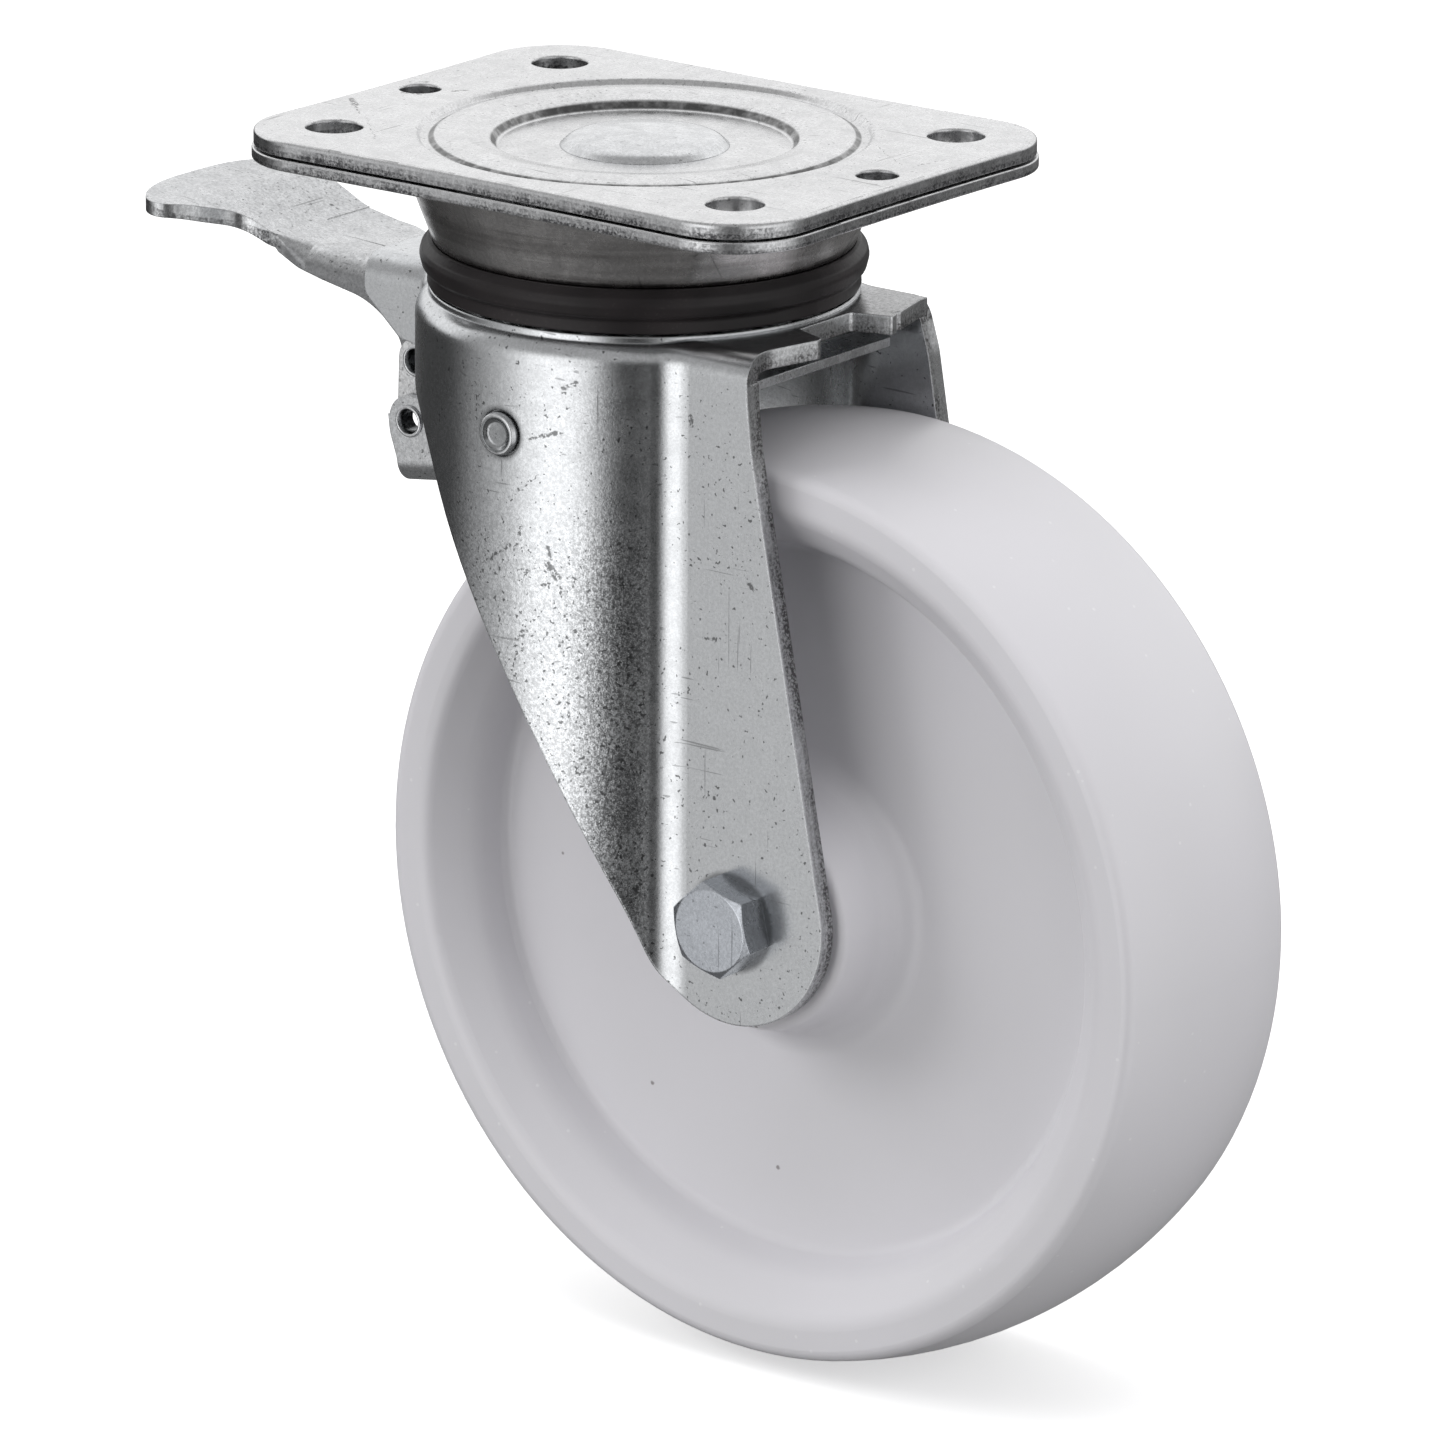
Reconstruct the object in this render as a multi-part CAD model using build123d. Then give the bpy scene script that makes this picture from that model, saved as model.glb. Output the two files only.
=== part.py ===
from build123d import *
import os
from math import sin, cos, tan, radians, degrees, sqrt, atan2, acos, asin, pi, hypot

os.makedirs("parts", exist_ok=True)

# ------------------------------------------------------------------
# Swivel castor, 200 mm wheel, leading brake pedal (total lock).
# Origin: centre of the top plate's upper face, on the swivel axis.
# +Z up, wheel axle along Y, wheel trails towards +X, pedal leads to -X.
# Millimetres.
# ------------------------------------------------------------------

# top plate
PLATE_L = 139.0          # along X
PLATE_W = 109.0          # along Y
PLATE_T = 3.4
PLATE_R = 17.5           # corner radius, concentric with the bolt holes
PLATE_BOW = 0.8          # sides drawn in at mid length
HOLE_X = 105.0           # bolt hole spacing along X
HOLE_Y = 75.0            # bolt hole spacing along Y
HOLE_D = 12.0
PILOT_X = 60.2           # small holes on the X axis
PILOT_D = 8.8
HOLE_EDGE = 0.3          # rolled hole edge
RECESS_Z = -2.9          # sunk centre of the top plate
RECESS_R = 31.6

# lower plate with the drawn bearing cup
CUP_PLATE_L = 140.0
CUP_PLATE_W = 110.0
CUP_PLATE_R = 18.2
CUP_PLATE_TOP = -3.8
CUP_PLATE_BOT = -6.3
CUP_T = 2.5
CUP_FLOOR_TOP = -23.4
CUP_FLOOR_BOT = -25.9
CUP_R = 43.2

# king pin and bearing
PIN_R = 8.0
PIN_HEAD_R = 17.7
UB_R, UB_PITCH, UB_Z, UB_N = 4.5, 37.5, -29.1, 24      # upper ball row
LB_R, LB_PITCH, LB_Z, LB_N = 3.0, 19.0, -34.6, 18      # lower ball row
GROOVE_GAP = 0.3
DISC_TOP, DISC_BOT, DISC_R = -38.0, -40.4, 33.0
DISC_TEETH = 36

# fork
T = 4.0                  # fork sheet
FORK_R = 47.8            # round front of the fork, outside
LEG_Y = 34.0             # outer face of the legs
CROWN_Z = -33.0          # crown upper face
RIM_R, RIM_Z = 45.0, -32.3
NOSE_Y = 15.5            # half width of the pedal nose
NOSE_X = -63.0           # leading edge of the nose
CROWN_REAR_X = 55.3

# wheel and axle
TRAIL = 50.0
AXLE_Z = -153.7
WHEEL_R = 100.0
WHEEL_EDGE_R = 95.9
WHEEL_HALF = 27.4
HUB_HALF = 28.0
BORE_R = 14.5
LEG_END_X, LEG_END_Z, LEG_END_R = 49.8, -152.4, 23.5
BOLT_R = 6.0
BOLT_AF = 18.0
BOLT_HEAD = 7.5

# brake linkage, pivots in the XZ plane
A_X, A_Z = -38.0, -42.0        # pedal pin
B_X, B_Z = -52.5, -55.9        # pedal to link eyelet
C_X, C_Z = -52.9, -68.7        # link to rocker eyelet
O_X, O_Z = 0.0, -54.7          # rocker rivet
PEDAL_Y = 8.8                  # outer face of the pedal's side flanges
PEDAL_T = 3.0
LINK_Y0, LINK_Y1 = 9.3, 10.8
ROCK_Y0, ROCK_Y1 = 11.2, 12.8
PEDAL_TURN = 16.0              # degrees, full stroke
ROCK_RATIO = 0.209             # rocker turn over pedal turn
EYE_R, EYE_BORE, EYE_FLANGE = 2.75, 2.35, 3.5
EYE_SLOT_R = 3.15              # link-to-rocker hole in the rocker


# ------------------------------------------------------------------
# helpers
# ------------------------------------------------------------------
def rface(pts):
    """Closed face in XY from (x, y[, corner radius]) points."""
    P = [(p[0], p[1], p[2] if len(p) > 2 else 0.0) for p in pts]
    n = len(P)
    seg = []
    for i in range(n):
        x0, y0, _ = P[i - 1]
        x1, y1, r = P[i]
        x2, y2, _ = P[(i + 1) % n]
        if r <= 0:
            seg.append(((x1, y1), None, (x1, y1)))
            continue
        ux, uy = x0 - x1, y0 - y1
        vx, vy = x2 - x1, y2 - y1
        lu, lv = hypot(ux, uy), hypot(vx, vy)
        ux, uy, vx, vy = ux / lu, uy / lu, vx / lv, vy / lv
        ang = acos(max(-1.0, min(1.0, ux * vx + uy * vy)))
        if ang > pi - 1e-4:
            seg.append(((x1, y1), None, (x1, y1)))
            continue
        t = r / tan(ang / 2)
        bx, by = ux + vx, uy + vy
        lb = hypot(bx, by)
        bx, by = bx / lb, by / lb
        cx, cy = x1 + bx * r / sin(ang / 2), y1 + by * r / sin(ang / 2)
        seg.append(((x1 + ux * t, y1 + uy * t), (cx - bx * r, cy - by * r), (x1 + vx * t, y1 + vy * t)))
    edges = []
    for i in range(n):
        a, m, b = seg[i]
        pa = seg[i - 1][2]
        if hypot(pa[0] - a[0], pa[1] - a[1]) > 1e-6:
            edges.append(Line(pa, a))
        if m is not None:
            edges.append(ThreePointArc(a, m, b))
    return make_face(edges)


def xz(face, y0, y1):
    """Extrude a face drawn in (X, Z) between two Y planes."""
    pl = Plane(origin=(0, y0, 0), x_dir=(1, 0, 0), z_dir=(0, -1, 0))
    return extrude(pl * face, amount=y1 - y0, dir=(0, 1, 0))


def yz(face, x0, x1):
    """Extrude a face drawn in (Y, Z) between two X planes."""
    pl = Plane(origin=(x0, 0, 0), x_dir=(0, 1, 0), z_dir=(1, 0, 0))
    return extrude(pl * face, amount=x1 - x0, dir=(1, 0, 0))


def xy(face, z0, z1):
    """Extrude a face drawn in (X, Y) between two Z planes."""
    return Pos(0, 0, z0) * extrude(face, amount=z1 - z0, dir=(0, 0, 1))


def turn_z(face):
    """Revolve an (r, z) face about the swivel axis."""
    return revolve(Plane.XZ * face, axis=Axis.Z)


def turn_y(face, x, z):
    """Revolve an (r, y) face about the line along Y through (x, z)."""
    return Pos(x, 0, z) * (Rot(X=-90) * revolve(Plane.XZ * face, axis=Axis.Z))


def cyl_y(x, z, r, y0, y1):
    return turn_y(rface([(0, y0), (r, y0), (r, y1), (0, y1)]), x, z)


def ring_z(r0, r1, z0, z1):
    return turn_z(rface([(r0, z0), (r1, z0), (r1, z1), (r0, z1)]))


def disc_z(x, y, r, z0, z1):
    return Pos(x, y, (z0 + z1) / 2) * Cylinder(r, z1 - z0)


def one(shape):
    s = shape.solids()
    return s[0] if len(s) == 1 else Compound(children=list(s))


def save(shape, name):
    s = list(shape.solids())
    out = s[0] if len(s) == 1 else Compound(children=s)
    export_step(out, "parts/%s.step" % name)
    bb = out.bounding_box()
    print("%-22s solids %2d  vol %9.1f  x %.1f..%.1f y %.1f..%.1f z %.1f..%.1f" % (
        name, len(s), sum(q.volume for q in s), bb.min.X, bb.max.X, bb.min.Y, bb.max.Y, bb.min.Z, bb.max.Z))


def rolled_hole(x, y, r, z0, z1, e):
    """Cutter for a punched hole whose upper edge is rolled in."""
    c = Pos(x, y, 0) * turn_z(rface([(0, z0 - 1), (r, z0 - 1), (r, z1 - e * 1.6), (r + e * 0.35, z1 - e * 0.55),
                                     (r + e, z1), (r + e, z1 + 1), (0, z1 + 1)]))
    return c


# ------------------------------------------------------------------
# top plate: flat plate, sunk channel, raised bead and sunk centre
# ------------------------------------------------------------------
def bowed_plate(l, w, r, bow):
    """Rounded rectangle whose four sides are slightly drawn in."""
    a, b = l / 2, w / 2
    k = 0.2929 * r
    f = []
    f.append(ThreePointArc((-a + r, -b), (0, -b + bow), (a - r, -b)))
    f.append(ThreePointArc((a - r, -b), (a - k, -b + k), (a, -b + r)))
    f.append(ThreePointArc((a, -b + r), (a - bow * 0.8, 0), (a, b - r)))
    f.append(ThreePointArc((a, b - r), (a - k, b - k), (a - r, b)))
    f.append(ThreePointArc((a - r, b), (0, b - bow), (-a + r, b)))
    f.append(ThreePointArc((-a + r, b), (-a + k, b - k), (-a, b - r)))
    f.append(ThreePointArc((-a, b - r), (-a + bow * 0.8, 0), (-a, -b + r)))
    f.append(ThreePointArc((-a, -b + r), (-a + k, -b + k), (-a + r, -b)))
    return make_face(f)


plate = xy(bowed_plate(PLATE_L, PLATE_W, PLATE_R, PLATE_BOW), -PLATE_T, 0)
plate = fillet(plate.edges().group_by(Axis.Z)[-1], 0.8)
plate = chamfer(plate.edges().group_by(Axis.Z)[0], 0.2)
plate -= ring_z(0, 50, -6, 1)
PT = PLATE_T
dish = turn_z(rface([
    (PIN_R + 0.05, RECESS_Z), (RECESS_R - 0.9, RECESS_Z, 0.8), (RECESS_R + 0.7, -0.95, 1.4), (38.3, 0.05, 14.0),
    (43.3, -0.45, 1.0), (44.9, -1.3, 0.8), (46.5, -1.3, 0.6), (47.5, 0.0, 0.9), (50, 0),
    (50, -PT), (47.6, -PT, 0.8), (46.6, -3.6, 0.8), (44.8, -3.6, 0.8), (42.8, -3.4, 1.0), (35.0, -3.4, 2.0), (32.7, RECESS_Z - PT, 2.0),
    (PIN_R + 0.05, RECESS_Z - PT)]))
plate += dish
for sx in (-1, 1):
    for sy in (-1, 1):
        plate -= rolled_hole(sx * HOLE_X / 2, sy * HOLE_Y / 2, HOLE_D / 2, -PLATE_T, 0, HOLE_EDGE)
    plate -= rolled_hole(sx * PILOT_X, 0, PILOT_D / 2, -PLATE_T, 0, HOLE_EDGE)
save(plate, "top_plate")

# ------------------------------------------------------------------
# lower plate, drawn down in the middle into the bearing cup
# ------------------------------------------------------------------
cupp = xy(bowed_plate(CUP_PLATE_L, CUP_PLATE_W, CUP_PLATE_R, PLATE_BOW), CUP_PLATE_BOT, CUP_PLATE_TOP)
cupp = fillet(cupp.edges().group_by(Axis.Z)[0], 0.4)
cupp = fillet(cupp.edges().group_by(Axis.Z)[-1], 0.3)
cupp -= ring_z(0, 52, -9, -3.5)
cup = turn_z(rface([
    (PIN_R + 0.05, CUP_FLOOR_TOP), (40.3, CUP_FLOOR_TOP, 1.2), (42.2, -19.4, 3.0), (44.2, -14.6, 4.0), (46.0, -9.8, 2.0), (47.6, CUP_PLATE_TOP, 1.2),
    (49.6, CUP_PLATE_TOP), (49.9, -PLATE_T), (51.6, -PLATE_T), (52, CUP_PLATE_TOP),
    (52, CUP_PLATE_BOT), (50.2, CUP_PLATE_BOT, 1.4), (48.3, -11.2, 3.0), (46.6, -15.8, 5.0), (44.8, -20.6, 2.0), (44.2, -22.2, 0.3), (CUP_R, -22.9), (CUP_R, CUP_FLOOR_BOT, 1.4),
    (PIN_R + 0.05, CUP_FLOOR_BOT)]))
cup -= Pos(0, 0, UB_Z) * Torus(UB_PITCH, UB_R + GROOVE_GAP)
cupp += cup
for sx in (-1, 1):
    for sy in (-1, 1):
        cupp -= disc_z(sx * HOLE_X / 2, sy * HOLE_Y / 2, HOLE_D / 2 + 0.3, -10, -3)
    cupp -= disc_z(sx * PILOT_X, 0, PILOT_D / 2, -10, -3)
save(cupp, "bearing_cup_plate")

# ------------------------------------------------------------------
# king pin, its spacer and bush, locking disc, balls, dust seal
# ------------------------------------------------------------------
king = turn_z(rface([
    (0, -0.15), (9.5, -0.45, 30.0), (15.8, -1.15, 3.5), (PIN_HEAD_R, RECESS_Z), (PIN_R, RECESS_Z),
    (PIN_R, -39.6), (12.0, -39.6), (12.0, -41.2), (11.2, -42.0), (0, -42.0)]))
save(king, "king_pin")
save(ring_z(PIN_R + 0.05, 13.0, CUP_FLOOR_TOP, RECESS_Z - PLATE_T), "king_pin_spacer")
save(ring_z(PIN_R + 0.05, 10.2, -36.6, CUP_FLOOR_BOT), "king_pin_bush")

disc = turn_z(rface([(PIN_R + 0.05, -36.6), (23.6, -36.6), (26.2, DISC_TOP), (DISC_R, DISC_TOP), (DISC_R, DISC_BOT),
                     (25.0, DISC_BOT), (22.6, -39.6), (PIN_R + 0.05, -39.6)]))
disc -= Pos(0, 0, LB_Z) * Torus(LB_PITCH, LB_R + GROOVE_GAP)
notch = Pos(32.2, 0, (DISC_TOP + DISC_BOT) / 2) * Box(6.4, 3.0, 6.0)
for i in range(DISC_TEETH):
    disc -= Rot(Z=i * 360.0 / DISC_TEETH) * notch
save(disc, "swivel_lock_disc")

balls = [Rot(Z=(i + 0.5) * 360.0 / UB_N) * Pos(UB_PITCH, 0, UB_Z) * Sphere(UB_R) for i in range(UB_N)]
save(Compound(children=balls), "upper_ball_row")
balls = [Rot(Z=(i + 0.5) * 360.0 / LB_N) * Pos(LB_PITCH, 0, LB_Z) * Sphere(LB_R) for i in range(LB_N)]
save(Compound(children=balls), "lower_ball_row")

seal = turn_z(rface([
    (CUP_R, -23.0), (44.2, -22.4, 0.2), (45.2, -22.4, 0.4), (46.5, -24.0, 1.2), (46.9, -25.6, 2.0), (46.3, -28.0, 1.2), (45.1, -29.2, 0.8),
    (45.3, -31.8, 0.4), (43.8, -31.8, 0.4), (43.6, -28.5, 0.8), (CUP_R, -27.2)]))
save(seal, "dust_seal")

# ------------------------------------------------------------------
# fork: one pressing with a round front, a pedal nose and two flat legs
# ------------------------------------------------------------------
def plan(r, leg, nose, rc, nc, x_front=-75.0, x_rear=85.0):
    s = Circle(r) + Pos(x_rear / 2, 0) * Rectangle(x_rear, 2 * leg) + Pos(x_front / 2, 0) * Rectangle(-x_front, 2 * nose)
    xr = sqrt(r * r - leg * leg)
    xn = -sqrt(r * r - nose * nose)
    v = [q for q in s.vertices() if abs(q.X - xr) < 0.05 and abs(abs(q.Y) - leg) < 0.05]
    s = fillet(v, rc)
    v = [q for q in s.vertices() if abs(q.X - xn) < 0.05 and abs(abs(q.Y) - nose) < 0.05]
    s = fillet(v, nc)
    return s


outer = xy(plan(FORK_R, LEG_Y, NOSE_Y, 12.0, 3.5), -182, CROWN_Z)
outer = fillet(outer.edges().group_by(Axis.Z)[-1], 5.5)
inner = xy(plan(FORK_R - T, LEG_Y - T, NOSE_Y - T, 16.0, 7.5), -183, CROWN_Z - T)
inner = fillet(inner.edges().group_by(Axis.Z)[-1], 1.6)
fork = outer - inner
# crown: raised rim and drawn-up centre
fork -= ring_z(0, 34, -38, -31)
crown = turn_z(rface([
    (11.0, -28.6), (25.4, -28.6, 2.0), (29.9, RIM_Z, 2.0), (RIM_R, RIM_Z, 0.35), (RIM_R, -33.9), (40.0, -34.5), (36.0, CROWN_Z - T),
    (28.7, CROWN_Z - T, 2.5), (24.2, -32.6, 2.5), (11.0, -32.6)]))
fork += crown
fork -= Pos(0, 0, UB_Z) * Torus(UB_PITCH, UB_R + GROOVE_GAP)
fork -= Pos(0, 0, LB_Z) * Torus(LB_PITCH, LB_R + GROOVE_GAP)

# side outline, trimmed from both legs, the nose and the front
def tangent(px, pz, cx, cz, r, side):
    d = hypot(px - cx, pz - cz)
    a = atan2(pz - cz, px - cx)
    b = acos(r / d)
    return cx + r * cos(a + side * b), cz + r * sin(a + side * b)


rt = tangent(54.8, -55.0, LEG_END_X, LEG_END_Z, LEG_END_R, -1)
la = radians(225.0)
lt = (LEG_END_X + LEG_END_R * cos(la), LEG_END_Z + LEG_END_R * sin(la))
lb = (LEG_END_X, LEG_END_Z - LEG_END_R)
front = Spline([(-9.0, -89.2), (-1.3, -101.7), (8.1, -117.9), (16.2, -133.1), (23.6, -148.0), (28.9, -160.3), lt],
               tangents=[(0.53, -0.848), (cos(la + pi / 2), sin(la + pi / 2))])
arm = ThreePointArc(lt, lb, rt)
rear_top = (CROWN_REAR_X + 0.5, -26.0)
E = [
    Line((-64.5, -26.0), (-64.5, -36.0)), Line((-64.5, -36.0), (NOSE_X, -36.0)), Line((NOSE_X, -36.0), (NOSE_X, -40.0)),
    ThreePointArc((NOSE_X, -40.0), (-62.7, -41.4), (-61.6, -42.8)), Line((-61.6, -42.8), (-54.5, -49.0)),
    ThreePointArc((-54.5, -49.0), (-53.4, -49.9), (-51.9, -50.3)), Line((-51.9, -50.3), (-46.0, -51.2)),
    Spline([(-46.0, -51.2), (-38.0, -53.0), (-31.0, -56.2), (-25.5, -62.0), (-19.6, -71.6), (-9.0, -89.2)],
           tangents=[(0.988, -0.15), (0.53, -0.848)]),
    front, arm,
    Line(rt, (54.8, -55.0)),
    Spline([(54.8, -55.0), (53.6, -46.0), (53.1, -38.9)], tangents=[(-0.2, 0.98), (0.0, 1.0)]),
    Line((53.1, -38.9), (rear_top[0], -38.9)), Line((rear_top[0], -38.9), rear_top), Line(rear_top, (-64.5, -26.0)),
]
mask = xz(make_face(E), -60, 60)
mask -= Pos(NOSE_X - 10, 0, -50) * Box(20, 120, 60)
fork = fork & mask
# crown rear edge with its notch
w = LEG_Y + 6
rear = xy(rface([(53.1, -w), (53.1, -33.0), (52.2, -26.0, 8.0), (55.6, -11.6, 1.8), (46.9, -8.2, 1.2), (46.9, 9.4, 1.2), (55.6, 11.8, 0.8),
                 (55.0, 14.2), (54.0, 14.4), (53.9, 15.6), (54.5, 16.2), (51.6, 27.0, 8.0), (51.9, 33.0), (51.9, w),
                 (90, w), (90, -w)]), -38.9, -30)
fork -= rear
# the far leg is trimmed a little further forward at its upper rear corner
fork -= xz(rface([(47.6, -31.0), (48.9, -36.5, 6.0), (51.5, -45.0, 20.0), (54.5, -62.4, 30.0), (62.6, -95.0), (80.0, -95.0), (80.0, -31.0)]), 29.2, 60)
# drillings
fork -= cyl_y(TRAIL, AXLE_Z, BOLT_R + 0.2, -40, 40)
fork -= cyl_y(O_X, O_Z, 4.0, -60, 60)
for s in (-1, 1):
    fork -= cyl_y(O_X, O_Z, 5.0, *( (46.7, 60) if s > 0 else (-60, -46.7) ))
save(fork, "fork")

# ------------------------------------------------------------------
# brake pedal: wide foot blade, waist, and a flanged neck into the nose
# ------------------------------------------------------------------
NECK_Z = -37.3
HALF = [(-123.75, 0.0), (-123.5, 8.0), (-122.6, 13.2), (-121.4, 16.7), (-119.8, 19.8), (-117.8, 22.2), (-115.6, 23.6), (-113.8, 23.8), (-112.1, 23.2),
        (-110.1, 21.5), (-107.1, 17.9), (-104.6, 13.7), (-102.5, 10.9), (-100.2, 9.5), (-97.0, 8.8), (-93.0, 8.6), (-89.0, 8.7), (-84.0, PEDAL_Y)]


def plan_half(side, pts=HALF):
    p = [(x, side * y) for x, y in pts]
    return make_face([Spline(p, tangents=[(0, side), (1, -0.02 * side)]), Line(p[-1], (p[-1][0], 0.0)), Line((p[-1][0], 0.0), p[0])])


FOLD_X = -93.2           # the side flanges start here
blade_side = rface([(-127, -27.5), (-108.0, -29.0, 12.0), (-94.5, -34.9, 12.0), (-84.5, -36.6, 20.0), (-69.0, NECK_Z), (-69.0, NECK_Z - PEDAL_T),
                    (-84.8, -39.6, 17.0), (-95.4, -37.8, 9.0), (-109.0, -32.0, 15.0), (-127, -30.5)])
blade = xz(blade_side, -30, 30)
# the right side stays wide and has no waist
HALF_RIGHT = HALF[:8] + [(-109.0, 23.6), (-102.0, 23.1), (-95.0, 22.7), (-84.0, 22.2)]
blade = blade & (xy(plan_half(1, HALF_RIGHT), -60, -10) + xy(plan_half(-1), -60, -10))
blade = blade & (Pos(FOLD_X - 20.0 + 0.2, 0, -30) * Box(40.0, 80, 60))


def neck_section(x, z, w, r):
    f = rface([(-w, -75.0), (-w, z, r), (w, z, r), (w, -75.0)])
    return Plane(origin=(x, 0, 0), x_dir=(0, 1, 0), z_dir=(1, 0, 0)) * f


NECK = [(FOLD_X, -35.12, 8.6, 0.5), (-85.0, -36.5, PEDAL_Y, 5.6), (-69.0, NECK_Z, PEDAL_Y, 6.2), (-33.4, NECK_Z, PEDAL_Y, 6.2)]
t = PEDAL_T
hull = loft([neck_section(*p) for p in NECK], ruled=True)
hollow = loft([neck_section(FOLD_X - 1.5, -34.86 - t, 8.6 - t, 0.3)] + [neck_section(x, z - t, w - t, max(r - t, 0.3)) for x, z, w, r in NECK[:-1]]
              + [neck_section(-32.4, NECK_Z - t, PEDAL_Y - t, 6.2 - t)], ruled=True)
cheek = rface([(-128.0, -20.0), (-128.0, -38.2), (-93.2, -38.2), (-92.4, -39.0, 1.0), (-87.0, -41.5, 8.0), (-80.5, -43.0, 20.0), (-67.5, -45.4, 20.0), (-59.0, -51.5, 8.0), (-57.5, -57.2, 4.0), (-56.2, -60.4, 3.0),
               (-49.7, -60.4, 4.2), (-46.8, -54.0, 8.0), (-40.6, -46.9, 4.0), (-33.5, -46.5, 4.3), (-33.5, -37.6, 4.3), (-40.0, -37.6), (-43.6, NECK_Z + 0.2), (-43.6, -20.0)])
outline = xz(cheek, -40, 40)
pedal = (hull & outline) - hollow
pedal = pedal + (blade & outline)
# the wide right side of the neck, level with its web
wing = xz(rface([(FOLD_X - 0.4, -35.20), (-85.0, -36.65), (-69.0, NECK_Z - 0.15), (-64.9, NECK_Z - 0.15), (-64.9, NECK_Z - 2.75), (-69.0, NECK_Z - 2.75), (-85.0, -39.25),
                 (FOLD_X - 0.4, -37.75)]), -30, 30)
wing = wing & xy(rface([(FOLD_X - 0.4, 4.5), (FOLD_X - 0.4, 22.35), (-86.0, 22.1), (-78.0, 20.9, 14.0), (-71.0, 17.2, 8.0), (-65.0, 9.6, 3.0), (-65.0, 4.5)]), -60, -10)
pedal = pedal + wing
# the web stops in front of the pin
pedal -= Pos(-35.5, 0, -45.0) * Box(15.0, 2 * (PEDAL_Y - PEDAL_T), 60.0)
pedal -= cyl_y(A_X, A_Z, 2.56, -20, 20)
pedal -= cyl_y(B_X, B_Z, EYE_R, -20, 20)
pedal = pedal.solids().sort_by(SortBy.VOLUME)[-1]
save(pedal, "brake_pedal")

# brackets under the crown that carry the pedal pin
for s, nm in ((-1, "left"), (1, "right")):
    y0, y1 = (9.2, 10.8) if s > 0 else (-10.8, -9.2)
    ear = xz(rface([(-39.3, -37.0), (-39.3, -38.6), (-42.4, -40.2, 2.0), (-42.4, -46.4, 4.0), (-33.8, -46.4, 4.0), (-33.8, -37.0)]), y0, y1)
    f0, f1 = (10.8, 17.0) if s > 0 else (-17.0, -10.8)
    foot = xz(rface([(-37.6, -37.0), (-37.6, -38.6), (-31.0, -38.6), (-31.0, -37.0)]), f0, f1)
    b = ear + foot
    b -= cyl_y(A_X, A_Z, 2.5, -20, 20)
    save(b, "pedal_bracket_" + nm)
pin = turn_y(rface([(0, -11.8), (3.1, -11.8, 0.5), (3.1, -10.8), (2.5, -10.8), (2.5, 10.8), (3.1, 10.8), (3.1, 11.8, 0.5), (0, 11.8)]), A_X, A_Z)
save(pin, "pedal_pin")

# ------------------------------------------------------------------
# links and tubular rivets
# ------------------------------------------------------------------
def bar(xa, za, xb, zb, r):
    a = atan2(zb - za, xb - xa)
    nx, nz = -sin(a) * r, cos(a) * r
    f = rface([(xa + nx, za + nz), (xb + nx, zb + nz), (xb - nx, zb - nz), (xa - nx, za - nz)])
    return f + Pos(xa, za) * Circle(r) + Pos(xb, zb) * Circle(r)


for s, nm in ((-1, "left"), (1, "right")):
    y0, y1 = (LINK_Y0, LINK_Y1) if s > 0 else (-LINK_Y1, -LINK_Y0)
    lk = xz(bar(B_X, B_Z, C_X, C_Z, 4.9), y0, y1)
    lk -= cyl_y(B_X, B_Z, EYE_R + 0.05, -20, 20)
    lk -= cyl_y(C_X, C_Z, EYE_R, -20, 20)
    save(lk, "brake_link_" + nm)


def eyelet(x, z, yi, yo, s):
    """Tubular rivet, flared at both ends, through sheets from |y| = yi to yo."""
    f = 0.45
    e = turn_y(rface([(EYE_BORE, yi - f), (EYE_FLANGE, yi - f, 0.3), (EYE_FLANGE, yi), (EYE_R, yi), (EYE_R, yo),
                      (EYE_FLANGE, yo), (EYE_FLANGE, yo + 0.6, 0.45), (EYE_BORE + 0.45, yo + 0.6, 0.35), (EYE_BORE, yo - 0.3, 0.6)]), x, z)
    return (e if s > 0 else mirror(e, about=Plane.XZ)).solids()[0]


save(Compound(children=[eyelet(B_X, B_Z, PEDAL_Y - PEDAL_T, LINK_Y1 + 0.08, s) for s in (-1, 1)]), "upper_eyelets")
save(Compound(children=[eyelet(C_X, C_Z, LINK_Y0, ROCK_Y1 + 0.12, s) for s in (-1, 1)]), "lower_eyelets")

# ------------------------------------------------------------------
# rocker: folded channel on the cross rivet, web at the front, bridge on top
# ------------------------------------------------------------------
def on_tread(ang, r):
    a = radians(ang)
    return (TRAIL + r * cos(a), AXLE_Z + r * sin(a))


tread = [on_tread(a, 103.4) for a in (134.6, 132, 129, 126, 123, 120)]
ROCK_T = ROCK_Y1 - ROCK_Y0
WEB_X, WEB_Z, WEB_SLOPE = -62.0, -83.9, 0.14      # underside of the web at its front, rise per mm
BR_TOP = -48.2
side = rface([(-58.8, -68.0), (-58.3, -72.0, 8.0), (-56.4, -77.5, 6.0), (-56.2, -86.0), (-28.0, -86.0), (-28.0, -79.3), (-26.0, -79.3)] + tread + [
              (2.5, -62.2, 4.0), (15.5, -56.5, 4.0), (15.5, BR_TOP), (-10.5, BR_TOP, 2.0), (-15.5, -52.6, 8.0), (-40.0, -64.2, 10.0), (-52.9, -63.3), (-52.9, -68.0)])
side = side + Pos(C_X, C_Z) * Circle(5.5) + Pos(O_X, O_Z) * Circle(7.4)
low_u = rface([(-ROCK_Y1, -40), (-ROCK_Y1, WEB_Z, 5.6), (ROCK_Y1, WEB_Z, 5.6), (ROCK_Y1, -40), (ROCK_Y0, -40), (ROCK_Y0, WEB_Z + ROCK_T, 4.0), (-ROCK_Y0, WEB_Z + ROCK_T, 4.0), (-ROCK_Y0, -40)])
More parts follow.
